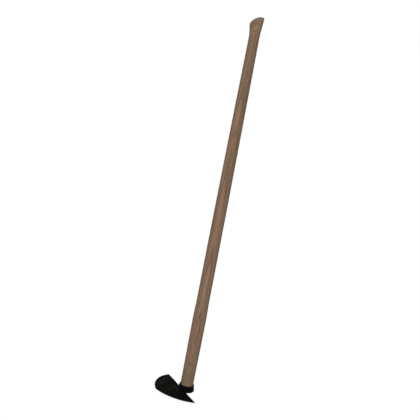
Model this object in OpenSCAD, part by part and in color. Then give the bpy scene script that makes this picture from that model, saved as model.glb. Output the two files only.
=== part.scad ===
// Garden hoe: a pointed-arch blade riveted under a round forged eye, on a long ash handle with a flared butt.
// The handle stands along +Z, the lower face of the eye lies on z = 0, and the blade reaches out towards -X.
// All sizes are in millimetres.

/* [Handle] */
// Length from the lower face of the eye to the middle of the slanted end
handle_l = 1217; // [900:1:1600]
// How much thicker the neck just above the eye is than the bore
neck_step = 0.4; // [0.2:0.1:2]
// How much thicker the swell is than the neck
swell_rise = 1.4; // [0.5:0.1:5]
// Height at which the swell is thickest
swell_z = 250; // [150:5:280]
// Height at which the swell has run out into the long taper
shoulder_z = 325; // [300:5:450]
// Diameter where the swell has run out
shoulder_d = 40.2; // [36:0.1:44]
// Bow of the long taper, where 1 is a straight cone
taper_bow = 1.4; // [1:0.1:2]

/* [Butt] */
// Diameter at the waist, just below the flare
waist_d = 31; // [26:0.1:36]
// Distance from the waist to the middle of the slanted end
flare_l = 43; // [35:1:80]
// Half angle of the flare
flare_angle = 6.6; // [4:0.1:12]
// Lean of the flare towards the blade side
flare_lean = 2.9; // [0:0.1:6]
// Slope of the end cut, which drops towards the blade
end_cut_angle = 36.5; // [20:0.5:42]
// Radius of the worn corners at the high and low ends of the cut
end_round_r = 7.5; // [4:0.5:10]

/* [Eye] */
// Diameter of the bore at the eye's upper face
eye_bore_d = 41.2; // [34:0.1:48]
// How much wider the bore is at the eye's lower face
eye_spread = 3.6; // [1:0.1:6]
// Wall of the eye at its upper face
eye_wall = 3; // [2.6:0.1:5]
// Wall of the eye at its lower face
eye_wall_low = 5; // [3:0.1:6]
// Height of the eye
eye_h = 22.5; // [20:0.5:30]
// Rounding of the eye's lower outside edge
eye_round_low = 2; // [0.5:0.1:3]
// Rounding of the eye's upper outside edge
eye_round_top = 1.4; // [0.3:0.1:2]
// Width of the neck that fills the corner between the eye and the blade
neck_w = 24; // [16:1:30]
// How far the neck reaches out from the eye's wall
neck_l = 5; // [3:0.5:5.5]
// Thickness of the tongue under the blade
tongue_t = 3; // [2:0.1:3.5]
// Width of the tongue where it leaves the eye
tongue_root_w = 32; // [28:1:38]
// Reach of the tongue from the top edge of the blade
tongue_l = 32; // [30:1:40]
// Radius of the tongue's rounded end
tongue_end_r = 11; // [10:0.5:12.5]

/* [Blade] */
// Width over the two top corners
blade_w = 187; // [150:1:230]
// Reach from the straight top edge to the point
blade_l = 98; // [85:0.5:115]
// Radius of the two curved cutting edges
blade_side_r = 124; // [115:1:200]
// Thickness of the blade
blade_t = 3; // [2:0.1:5]
// Rise of the blade towards the grip, from square to the handle
blade_rise = 6; // [2:0.1:12]
// Distance of the straight top edge from the handle's axis
blade_set = 15.5; // [12:0.5:20]
// Height of the blade's inner face at its top edge
blade_z = 6; // [5.8:0.1:9]
// Width of the ground bevel on the outer face
bevel_w = 7; // [3:0.5:12]
// Thickness left at the cutting edge
edge_t = 0.8; // [0.4:0.1:1.5]
// Rounding of the two top corners
corner_r = 2.5; // [1:0.1:5]
// Rounding of the point
point_r = 5; // [2:0.5:12]

/* [Rivets] */
// Diameter of the rivet shank
rivet_d = 6; // [4:0.1:7]
// Diameter of the rivet heads
rivet_head_d = 10; // [8:0.1:12]
// Height of the flat dome of a rivet head
rivet_head_h = 1.8; // [1:0.1:2.4]
// Height of the rivet's hammered tail under the tongue
rivet_tail_h = 1.1; // [0.6:0.1:1.4]
// Distance between the two rivets
rivet_pitch = 17; // [14:0.5:20]
// Distance of the rivets from the top edge of the blade
rivet_out = 22.5; // [22:0.5:24]

/* [Wedges and nail] */
// Thickness of the wooden wedge at the handle's end
wood_wedge_t = 5; // [3:0.1:7]
// Thickness of the wooden wedge at its thin edge
wood_wedge_edge = 1.2; // [0.6:0.1:2]
// Depth of the saw cut that the wooden wedge fills
wood_wedge_depth = 18; // [14:0.5:19]
// Length of the steel wedge across the wooden one
steel_wedge_l = 18; // [12:0.5:24]
// Thickness of the steel wedge at the handle's end
steel_wedge_t = 3; // [2:0.1:4]
// Thickness of the steel wedge at its thin edge
steel_wedge_edge = 0.6; // [0.4:0.1:1.2]
// Depth of the steel wedge
steel_wedge_depth = 10; // [7:0.5:11]
// Diameter of the retaining nail
nail_d = 3.2; // [2.4:0.1:4]
// Length of the retaining nail under its head
nail_l = 14; // [10:0.5:15]
// Height of the nail above the lower face of the eye
nail_z = 13; // [12:0.5:15]
// Diameter of the nail's head
nail_head_d = 7; // [5:0.1:9]
// Height of the nail's head
nail_head_h = 1.6; // [1:0.1:2.5]

/* [Fits] */
// Clearance all round the handle in the eye
eye_fit = 0.05; // [0.02:0.01:0.2]
// Clearance around the eye in the blade's notch
notch_fit = 0.3; // [0.1:0.05:0.8]
// Clearance all round the rivets, the wedges and the nail
small_fit = 0.03; // [0.02:0.01:0.1]

/* [Hidden] */
$fn = 96;

// Extra length by which a cutting shape runs past what it cuts
over = 1;
// Steps along each stretch of the handle's profile
taper_steps = 14;
swell_steps = 8;
// Height over which the neck runs from the tenon to its own thickness
neck_run = 1.5;

bore_top_r = eye_bore_d / 2;
bore_low_r = (eye_bore_d + eye_spread) / 2;
eye_top_r = bore_top_r + eye_wall;
eye_low_r = bore_low_r + eye_wall_low;
neck_r = (eye_bore_d + neck_step) / 2;
swell_r = neck_r + swell_rise / 2;
shoulder_r = shoulder_d / 2;
waist_r = waist_d / 2;
waist_z = handle_l - flare_l;

// A share that eases in and out from 0 to 1
function ease(u) = u * u * (3 - 2 * u);

// Points of the handle's outline, from the top of the neck to the waist
neck_to_swell = [[neck_r, eye_h + neck_run], [swell_r, swell_z]];
swell_to_shoulder = [for (i = [1 : swell_steps])
    let (u = i / swell_steps)
    [swell_r + (shoulder_r - swell_r) * ease(u), swell_z + (shoulder_z - swell_z) * u]];
shoulder_to_waist = [for (i = [1 : taper_steps])
    let (u = i / taper_steps)
    [shoulder_r + (waist_r - shoulder_r) * pow(u, taper_bow), shoulder_z + (waist_z - shoulder_z) * u]];
tenon_outline = [[0, 0], [bore_low_r - eye_fit, 0], [bore_top_r - eye_fit, eye_h]];
handle_outline = concat(tenon_outline, neck_to_swell, swell_to_shoulder, shoulder_to_waist, [[0, waist_z]]);

// The flare is a cone whose foot is sunk in the waist
flare_sunk = 12;
// How far the flare stands proud of the waist where it starts
flare_step = 0.1;
flare_top = flare_l + waist_d;
flare_start_r = waist_r + flare_step;
flare_slope = tan(flare_angle);

// The cut end is trimmed by a round button that lies in the plane of the cut.
// It reaches past the ends of the cut by button_spare and is moved towards the low end by button_lag.
button_spare = 0.7;
button_lag = 0.8;
flare_end_r = flare_start_r + flare_l * flare_slope;
cut_half_length = flare_end_r / cos(end_cut_angle);
button_r = cut_half_length + button_spare;
button_shift = -flare_l * tan(flare_lean) - button_lag;
// Side of a block that covers the whole end
cutter_size = 2 * (button_r + flare_top);

// Slope of the eye's outside, from upright
eye_slope = atan2(eye_low_r - eye_top_r, eye_h);
// The nail stands square on the eye's sloping wall
nail_r_out = eye_low_r - nail_z * tan(eye_slope);

// Where the eye's wall meets the blade, as a distance from the blade's top edge
eye_front = eye_low_r - blade_z * tan(eye_slope) - blade_set;
// Thickness left at the foot of the neck's hollow front
neck_foot_t = 0.8;
// The tongue is ground off this high above the eye's lower face
tongue_clear = 0.4;

// The centres of the two cutting edges' arcs lie past the top edge, each on the far side of the middle.
// The arcs pass through the top corner and the point, so the centre is on the bisector of that chord.
blade_half = blade_w / 2;
chord = norm([blade_half, blade_l]);
chord_to_centre = sqrt(blade_side_r * blade_side_r - chord * chord / 4);
arc_y = blade_half / 2 - chord_to_centre * blade_l / chord;
arc_x = blade_l / 2 - chord_to_centre * blade_half / chord;

// The small rounding arcs are this much larger than tangent ones, so they cross the edges that they round
round_proud = 0.01;
// Where the small arc that rounds a top corner has its centre
corner_y = arc_y + sqrt(pow(blade_side_r - corner_r, 2) - pow(corner_r - arc_x, 2));
// Where the small arc that rounds the point has its centre
point_x = arc_x + sqrt(pow(blade_side_r - point_r, 2) - arc_y * arc_y);

// A unit vector along v
function unit(v) = v / norm(v);

// The points of an arc of radius r that rounds the corner p between the points a and b
function round_corner(a, p, b, r, steps = 6) =
    let (
        to_a = unit(a - p),
        to_b = unit(b - p),
        half = acos(to_a * to_b) / 2,
        centre = p + unit(to_a + to_b) * r / sin(half),
        first = p + to_a * r / tan(half) - centre,
        last = p + to_b * r / tan(half) - centre,
        start = atan2(first[1], first[0]),
        turn = atan2(first[0] * last[1] - first[1] * last[0], first * last)
    )
    [for (i = [0 : steps]) centre + r * [cos(start + turn * i / steps), sin(start + turn * i / steps)]];

// Places its children in the blade's own frame: the top edge on x = 0, the inner face on z = 0, the point at -X
module in_blade_frame() {
    translate([-blade_set, 0, blade_z]) rotate([0, blade_rise, 0]) children();
}

// A flat wedge with its thick end on z = 0, of length l along Y, with its faces grown by grow
module wedge(l, thick, edge, depth, grow) {
    rotate([90, 0, 0]) linear_extrude(l, center = true)
        polygon([
            [-thick / 2 - grow, 0],
            [thick / 2 + grow, 0],
            [edge / 2 + grow, depth + grow],
            [-edge / 2 - grow, depth + grow]
        ]);
}

module wood_wedge_blank(grow) {
    wedge(2 * bore_low_r + over, wood_wedge_t, wood_wedge_edge, wood_wedge_depth, grow);
}

module steel_wedge_blank(grow) {
    rotate([0, 0, 90])
        wedge(steel_wedge_l + 2 * grow, steel_wedge_t, steel_wedge_edge, steel_wedge_depth, grow);
}

// Places its children where the nail enters the eye's back, with +Z square out of the wall
module at_nail() {
    translate([nail_r_out, 0, nail_z]) rotate([0, 90 - eye_slope, 0]) children();
}

// The nail's shank with its point, from the eye's outside inwards
module nail_shank(grow) {
    straight_l = nail_l - nail_d;
    at_nail() mirror([0, 0, 1]) {
        cylinder(h = straight_l, r = nail_d / 2 + grow);
        translate([0, 0, straight_l]) cylinder(h = nail_d + grow, r1 = nail_d / 2 + grow, r2 = 0);
    }
}

// Everything above the plane of the slanted end, and its worn corners
module end_cutter() {
    translate([0, 0, handle_l]) rotate([0, -end_cut_angle, 0]) difference() {
        translate([-cutter_size / 2, -cutter_size / 2, -end_round_r]) cube(cutter_size);
        translate([button_shift, 0, -end_round_r]) rotate_extrude() union() {
            translate([0, -over]) square([button_r - end_round_r, end_round_r + over]);
            translate([button_r - end_round_r, 0]) intersection() {
                circle(end_round_r);
                square(end_round_r);
            }
            translate([0, -over]) square([button_r, over]);
        }
    }
}

module handle() {
    color([0.49, 0.4, 0.33]) difference() {
        union() {
            rotate_extrude() polygon(handle_outline);
            translate([0, 0, waist_z]) rotate([0, -flare_lean, 0]) translate([0, 0, -flare_sunk])
                cylinder(
                    h = flare_sunk + flare_top,
                    r1 = flare_start_r - flare_sunk * flare_slope,
                    r2 = flare_start_r + flare_top * flare_slope
                );
        }
        end_cutter();
        wood_wedge_blank(small_fit);
        steel_wedge_blank(small_fit);
        nail_shank(small_fit);
    }
}

// The side view of the neck in the blade's frame: a hollow fillet that stands on the blade's inner face
module neck_side() {
    difference() {
        translate([-eye_front - neck_l, 0]) square([neck_l + eye_wall, neck_l + neck_foot_t]);
        translate([-eye_front - neck_l, neck_l + neck_foot_t]) circle(neck_l);
    }
}

// The tongue seen along the blade's normal: tapered sides and a round end
module tongue_outline() {
    round_x = tongue_end_r - tongue_l;
    polygon([
        [-eye_front + eye_wall, -tongue_root_w / 2],
        [-eye_front + eye_wall, tongue_root_w / 2],
        [-eye_front - neck_l, tongue_root_w / 2],
        [round_x, tongue_end_r],
        [round_x, -tongue_end_r],
        [-eye_front - neck_l, -tongue_root_w / 2]
    ]);
    translate([round_x, 0]) circle(tongue_end_r);
}

// The two rivet holes, from below the tongue to above the blade
module rivet_holes() {
    for (side = [-1, 1])
        in_blade_frame() translate([-rivet_out, side * rivet_pitch / 2, -blade_t - tongue_t - over])
            cylinder(h = blade_t + tongue_t + 2 * over, r = rivet_d / 2 + small_fit);
}

// Half of the eye's section, with its outside edges rounded
module eye_section() {
    low_in = [0, 0];
    low_out = [eye_low_r, 0];
    top_out = [eye_top_r, eye_h];
    top_in = [0, eye_h];
    polygon(concat(
        [low_in],
        round_corner(low_in, low_out, top_out, eye_round_low),
        round_corner(low_out, top_out, top_in, eye_round_top),
        [top_in]
    ));
}

module eye_collar() {
    color([0.06, 0.065, 0.06]) difference() {
        union() {
            rotate_extrude() eye_section();
            in_blade_frame() rotate([90, 0, 0]) linear_extrude(neck_w, center = true) neck_side();
            intersection() {
                in_blade_frame() translate([0, 0, -blade_t - tongue_t]) linear_extrude(tongue_t)
                    tongue_outline();
                translate([-blade_w, -blade_w / 2, tongue_clear]) cube(blade_w);
            }
        }
        eye_bore();
        rivet_holes();
        nail_shank(small_fit);
    }
}

// The tapered bore, run past both faces on the same slope
module eye_bore() {
    step = (bore_low_r - bore_top_r) * over / eye_h;
    translate([0, 0, -over]) cylinder(h = eye_h + 2 * over, r1 = bore_low_r + step, r2 = bore_top_r - step);
}

module blade() {
    color([0.09, 0.09, 0.085]) difference() {
        in_blade_frame() difference() {
            intersection() {
                arc_disc(1);
                arc_disc(-1);
                translate([-2 * blade_l, -blade_w, -blade_t]) cube([2 * blade_l, 2 * blade_w, blade_t]);
            }
            top_corner(1);
            top_corner(-1);
            blade_point();
        }
        cylinder(h = eye_h, r1 = eye_low_r + notch_fit, r2 = eye_top_r + notch_fit);
        rivet_holes();
    }
}

// The disc whose rim is one cutting edge, bevelled on the outer face
module arc_disc(side) {
    translate([-arc_x, side * arc_y, 0]) rotate_extrude($fn = 360) polygon([
        [0, -blade_t],
        [blade_side_r - bevel_w, -blade_t],
        [blade_side_r, -edge_t],
        [blade_side_r, 0],
        [0, 0]
    ]);
}

// What is worn off a top corner: the stretch between the two tangent points, past the small arc
module top_corner(side) {
    tangent = atan2(corner_y - arc_y, corner_r - arc_x);
    reach = blade_side_r + over;
    corner_run = blade_half - corner_y + over;
    translate([0, 0, -blade_t - over]) linear_extrude(blade_t + 2 * over) difference() {
        polygon([
            [-corner_r, side * corner_y],
            [over, side * corner_y],
            [over, side * (corner_y + corner_run)],
            [-arc_x - reach * cos(tangent), side * (arc_y + reach * sin(tangent))]
        ]);
        translate([-corner_r, side * corner_y]) circle(corner_r + round_proud);
    }
}

// What is worn off the point, past the small arc between its two tangent points
module blade_point() {
    tangent = atan2(-arc_y, point_x - arc_x);
    reach = blade_side_r + over;
    translate([0, 0, -blade_t - over]) linear_extrude(blade_t + 2 * over) difference() {
        polygon([
            [-point_x, 0],
            [-arc_x - reach * cos(tangent), arc_y + reach * sin(tangent)],
            [-blade_l - point_r, 0],
            [-arc_x - reach * cos(tangent), -arc_y - reach * sin(tangent)]
        ]);
        translate([-point_x, 0]) circle(point_r + round_proud);
    }
}

// A flat dome of diameter d and height h, on z = 0
module dome(d, h) {
    ball_r = (d * d / 4 + h * h) / (2 * h);
    intersection() {
        translate([0, 0, h - ball_r]) sphere(ball_r);
        cylinder(h = h, d = d + over);
    }
}

// A rivet through the blade and the tongue, with a low dome on each face
module rivet(side) {
    grip = blade_t + tongue_t;
    color([0.1, 0.1, 0.1]) in_blade_frame() translate([-rivet_out, side * rivet_pitch / 2, 0]) {
        translate([0, 0, -grip]) cylinder(h = grip, d = rivet_d);
        dome(rivet_head_d, rivet_head_h);
        translate([0, 0, -grip]) mirror([0, 0, 1]) dome(rivet_head_d, rivet_tail_h);
    }
}

module rivet_left() {
    rivet(1);
}

module rivet_right() {
    rivet(-1);
}

module wood_wedge() {
    color([0.62, 0.5, 0.36]) difference() {
        intersection() {
            wood_wedge_blank(0);
            rotate_extrude() polygon(concat(tenon_outline, [[0, eye_h]]));
        }
        steel_wedge_blank(small_fit);
    }
}

module steel_wedge() {
    color([0.3, 0.28, 0.27]) steel_wedge_blank(0);
}

module retaining_nail() {
    color([0.22, 0.19, 0.17]) {
        nail_shank(0);
        at_nail() dome(nail_head_d, nail_head_h);
    }
}

handle();
eye_collar();
blade();
rivet_left();
rivet_right();
wood_wedge();
steel_wedge();
retaining_nail();
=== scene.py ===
"""Looks for the garden hoe: a worn ash handle and a near-black forged head on a plain pale floor.

All lengths are in metres, in the part's frame: the handle stands along +Z and the blade reaches towards -X.
"""

import math

import bmesh
import bpy
import numpy as np
from mathutils import Matrix, Vector


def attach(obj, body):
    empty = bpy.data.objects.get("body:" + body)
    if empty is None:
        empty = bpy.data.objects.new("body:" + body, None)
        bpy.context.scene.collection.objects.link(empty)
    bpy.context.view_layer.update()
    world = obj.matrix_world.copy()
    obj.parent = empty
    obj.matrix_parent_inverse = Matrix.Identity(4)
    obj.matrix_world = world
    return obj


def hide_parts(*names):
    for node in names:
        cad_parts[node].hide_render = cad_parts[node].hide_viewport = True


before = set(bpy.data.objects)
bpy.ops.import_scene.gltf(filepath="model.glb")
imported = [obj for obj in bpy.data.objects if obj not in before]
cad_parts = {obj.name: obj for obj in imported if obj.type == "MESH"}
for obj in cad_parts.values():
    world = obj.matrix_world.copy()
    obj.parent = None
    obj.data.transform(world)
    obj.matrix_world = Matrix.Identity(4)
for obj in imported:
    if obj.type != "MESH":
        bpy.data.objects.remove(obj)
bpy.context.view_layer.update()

MM = 0.001
TAU = 2 * math.pi

# Points closer than this are one point
MERGE = 0.002 * MM

# The handle, as in the part's source
HANDLE_L = 1217 * MM
EYE_H = 22.5 * MM
BORE_TOP_R = 20.6 * MM
BORE_LOW_R = 22.4 * MM
NECK_R = 20.8 * MM
SWELL_R = 21.5 * MM
SWELL_Z = 250 * MM
SHOULDER_R = 20.1 * MM
SHOULDER_Z = 325 * MM
WAIST_R = 15.5 * MM
WAIST_Z = 1174 * MM
TAPER_BOW = 1.4
FLARE_ANGLE = math.radians(6.6)
FLARE_LEAN = math.radians(2.9)
FLARE_START_R = WAIST_R + 0.1 * MM
CUT_ANGLE = math.radians(36.5)
CUT_NORMAL = np.array([-math.sin(CUT_ANGLE), 0, math.cos(CUT_ANGLE)])
CUT_ALONG = np.array([math.cos(CUT_ANGLE), 0, math.sin(CUT_ANGLE)])
BUTTON_SPARE = 0.7 * MM
BUTTON_LAG = 0.8 * MM
END_ROUND_R = 7.5 * MM
FLARE_L = HANDLE_L - WAIST_Z
BUTTON_R = (FLARE_START_R + FLARE_L * math.tan(FLARE_ANGLE)) / math.cos(CUT_ANGLE) + BUTTON_SPARE
BUTTON_SHIFT = -FLARE_L * math.tan(FLARE_LEAN) - BUTTON_LAG
# The rays that find the butt start on the axis and fan out round the middle of the slanted end
BUTT_START = np.array([0, 0, WAIST_Z - 1 * MM])
BUTT_POLE = np.array([0, 0, HANDLE_L]) + BUTTON_SHIFT * CUT_ALONG - BUTT_START
BUTT_POLE /= np.linalg.norm(BUTT_POLE)
# Wear of the edge between the flare and the slanted end, and how far that end is sunk, all over and in places
END_WORN = 0.8 * MM
END_SUNK = 0.25 * MM
END_UNEVEN = 0.3 * MM
# Reach of the fillet in the waist, up and down
WAIST_FILLET = 10 * MM
# The leaning flare leaves the shaft higher by the first on +X and lower on -X, and by the second on both
WAIST_SKEW = 0.88 * MM
WAIST_SKEW_BOW = 0.21 * MM
# Rows and columns of the handle's grids, and the rounds of halving that find its butt and that butt's rim
HALF_TURN_COLUMNS = 65
SHAFT_RINGS = 320
FLANK_ROWS = 52
END_ROWS = 64
BUTT_HALVINGS = 34
RIM_HALVINGS = 24
# Places across the foot at which its grid has rows, besides the flanks of the steel wedge's slot
FOOT_ROWS = np.array([3, 6, 9, 12, 15, 18, 20, 21.5, 23]) * MM
# The wedges stand proud of the shrunken end grain by this much
FOOT_Z = 0.3 * MM

# The wedge slots with their clearance, the nail, the eye, the blade and the rivets, as in the part's source
EYE_FIT = 0.05 * MM
WOOD_WEDGE_T = 5.06 * MM
WOOD_WEDGE_EDGE = 1.26 * MM
WOOD_WEDGE_DEPTH = 18.03 * MM
STEEL_WEDGE_L = 18.06 * MM
STEEL_WEDGE_T = 3.06 * MM
STEEL_WEDGE_EDGE = 0.66 * MM
STEEL_WEDGE_DEPTH = 10.03 * MM
NAIL_D = 3.2 * MM
NAIL_L = 14 * MM
NAIL_Z = 13 * MM
NAIL_HEAD_D = 7 * MM
NAIL_HEAD_H = 1.6 * MM
EYE_TOP_R = BORE_TOP_R + 3 * MM
EYE_LOW_R = BORE_LOW_R + 5 * MM
EYE_SLOPE = (EYE_LOW_R - EYE_TOP_R) / EYE_H
EYE_ROUND_LOW = 2 * MM
EYE_ROUND_TOP = 1.4 * MM
# The way from the eye's axis towards the lowest stretch of its uneven rim
RIM_LOW_TURN = math.radians(-33)
NECK_L = 5 * MM
TONGUE_T = 3 * MM
TONGUE_ROOT_W = 32 * MM
TONGUE_L = 32 * MM
TONGUE_END_R = 11 * MM
TONGUE_CLEAR = 0.4 * MM
BLADE_W = 187 * MM
BLADE_L = 98 * MM
BLADE_SIDE_R = 124 * MM
BLADE_T = 3 * MM
BLADE_RISE = math.radians(6)
BLADE_SET = 15.5 * MM
BLADE_Z = 6 * MM
BEVEL_W = 7 * MM
EDGE_T = 0.8 * MM
CORNER_R = 2.5 * MM
POINT_R = 5 * MM
NOTCH_FIT = 0.3 * MM
CHORD = math.hypot(BLADE_W / 2, BLADE_L)
CHORD_TO_CENTRE = math.sqrt(BLADE_SIDE_R ** 2 - CHORD ** 2 / 4)
ARC_Y = BLADE_W / 4 - CHORD_TO_CENTRE * BLADE_L / CHORD
ARC_X = BLADE_L / 2 - CHORD_TO_CENTRE * BLADE_W / 2 / CHORD
CORNER_Y = ARC_Y + math.sqrt((BLADE_SIDE_R - CORNER_R) ** 2 - (CORNER_R - ARC_X) ** 2)
CORNER_TANGENT_Y = CORNER_Y + CORNER_R * (CORNER_Y - ARC_Y) / (BLADE_SIDE_R - CORNER_R)
POINT_X = ARC_X + math.sqrt((BLADE_SIDE_R - POINT_R) ** 2 - ARC_Y ** 2)
RIVET_D = 6 * MM
RIVET_HEAD_D = 10 * MM
RIVET_HEAD_H = 1.8 * MM
RIVET_TAIL_H = 1.1 * MM
RIVET_PITCH = 17 * MM
RIVET_OUT = 22.5 * MM

# How many hammer marks each forged piece carries, their least and largest radius, and their depth
BLADE_MARKS = 420
BLADE_MARK_R = (4 * MM, 9 * MM)
BLADE_MARK_DEPTH = 0.16 * MM
EYE_MARKS = 130
EYE_MARK_R = (4 * MM, 8 * MM)
EYE_MARK_DEPTH = 0.28 * MM
TONGUE_MARKS = 60
TONGUE_MARK_R = (4 * MM, 7 * MM)
TONGUE_MARK_DEPTH = 0.2 * MM
# Worn rounds of the blade's and the tongue's edges, the blade's warp, and the neck's spread and rise
EDGE_WORN = 0.35 * MM
TONGUE_WORN = 0.7 * MM
BLADE_WARP = 0.7 * MM
NECK_SPREAD = math.radians(46)
NECK_RISE = NECK_L + 2 * MM
# Hammer blows that flatten a head, and how far off its middle they fall
BLOWS = 9
BLOW_OFF = 1.7 * MM
# Rows and columns of the head's grids
EDGE_COLUMNS = 130
UPPER_ROWS = 74
BEVEL_ROWS = 10
LOWER_ROWS = 52
EYE_COLUMNS = 180
EYE_WALL_ROWS = 26
NECK_SECTIONS = 81
NECK_ROWS = 14
TONGUE_SECTIONS = 22
TONGUE_COLUMNS = 34

# The ash's pith lies beside the handle, leans a little and bends near the head. The rings have one width
PITH_X = 42 * MM
PITH_Y = 58 * MM
PITH_LEAN_X = 0.004
PITH_LEAN_Y = 0.003
PITH_BEND = 5.5 * MM
PITH_BEND_Z = 118 * MM
PITH_BEND_REACH = 60 * MM
RING_W = 2.7 * MM
PITH_AWAY = 70 * MM

# Heights of the fine relief that the materials draw
GRAIN_BUMP = 0.12 * MM
SCALE_BUMP = 0.2 * MM
HAMMER_BUMP = 1.6 * MM


# Materials: one class carries the shader maths, one method adds any node


class Wire:
    """An output socket. Sums, products and powers of wires and numbers add Math nodes."""

    def __init__(self, shader, socket):
        self.shader = shader
        self.socket = socket

    def math(self, operation, *others):
        """A Math node with the wire as its first value."""
        return self.shader.node("ShaderNodeMath", {"operation": operation}, dict(enumerate((self, *others))))

    def __add__(self, other):
        return self.math("ADD", other)

    def __sub__(self, other):
        return self.math("SUBTRACT", other)

    def __rsub__(self, other):
        return self * -1 + other

    def __mul__(self, other):
        return self.math("MULTIPLY", other)

    def __truediv__(self, other):
        return self.math("DIVIDE", other)

    def __pow__(self, other):
        return self.math("POWER", other)

    __radd__ = __add__
    __rmul__ = __mul__

    def ramp(self, low, high):
        """0 below low, 1 above high, eased between."""
        inputs = {"Value": self, "From Min": low, "From Max": high, "To Min": 0.0, "To Max": 1.0}
        return self.shader.node("ShaderNodeMapRange", {"interpolation_type": "SMOOTHSTEP"}, inputs)


class Shader:
    """A material under construction, with the Principled surface that it feeds."""

    def __init__(self, name, **surface):
        self.material = bpy.data.materials.new(name)
        self.material.use_nodes = True
        self.tree = self.material.node_tree
        self.surface = self.tree.nodes["Principled BSDF"]
        for socket, value in surface.items():
            self.surface.inputs[socket.replace("_", " ")].default_value = value
        self.object = self.node("ShaderNodeTexCoord", output="Object")

    @classmethod
    def on_tree(cls, tree):
        """Shader maths on another tree, such as the world's."""
        made = cls.__new__(cls)
        made.tree = tree
        return made

    def seen_directly(self):
        """1 for rays from the camera, and for those that gloss or glass send on."""
        camera, glossy, through = (
            self.node("ShaderNodeLightPath", output=f"Is {kind} Ray")
            for kind in ("Camera", "Glossy", "Transmission"))
        return camera.math("MAXIMUM", glossy.math("MAXIMUM", through))

    def node(self, kind, settings=None, inputs=None, output=0):
        """Adds a node, sets what it is, then its sockets, and returns one output as a wire."""
        made = self.tree.nodes.new(kind)
        for name, value in (settings or {}).items():
            setattr(made, name, value)
        for name, value in (inputs or {}).items():
            if isinstance(value, Wire):
                self.tree.links.new(value.socket, made.inputs[name])
            else:
                made.inputs[name].default_value = value
        return Wire(self, made.outputs[output])

    def feed(self, **sockets):
        """Links wires to the surface's sockets."""
        for name, wire in sockets.items():
            self.tree.links.new(wire.socket, self.surface.inputs[name.replace("_", " ")])

    def stretched(self, size, where=None):
        """Object coordinates divided by a cell size in metres, which gives a noise cells of that size."""
        scale = [1 / side for side in size]
        return self.node(
            "ShaderNodeMapping", {"vector_type": "POINT"}, {"Vector": where or self.object, "Scale": scale})

    def noise(self, size, detail=2.0, roughness=0.5, distortion=0.0, where=None):
        """Noise with cells of the given size in metres, between 0 and 1."""
        return self.node(
            "ShaderNodeTexNoise", {},
            {"Vector": self.stretched(size, where=where), "Scale": 1.0, "Detail": detail,
             "Roughness": roughness, "Distortion": distortion})

    def blend(self, share, first, second):
        """Two colours, mixed by share."""
        return self.node(
            "ShaderNodeMix", {"data_type": "RGBA", "clamp_factor": True},
            {0: share, 6: first, 7: second}, output=2)

    def bump(self, height, strength, distance, normal=None):
        """A normal bent by a height, over another normal where one is given."""
        inputs = {"Height": height, "Strength": strength, "Distance": distance}
        if normal:
            inputs["Normal"] = normal
        return self.node("ShaderNodeBump", {}, inputs)


def colour(red, green, blue):
    return (red, green, blue, 1.0)


def grey(level):
    return colour(level, level, level)


def along_grain(width, length):
    """The cell size of a noise drawn out along the handle, from a width and a length in millimetres."""
    return (width * MM, width * MM, length * MM)


def even_cell(size):
    """The cell size of a noise that is alike in all directions, from a size in millimetres."""
    return along_grain(size, size)


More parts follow.
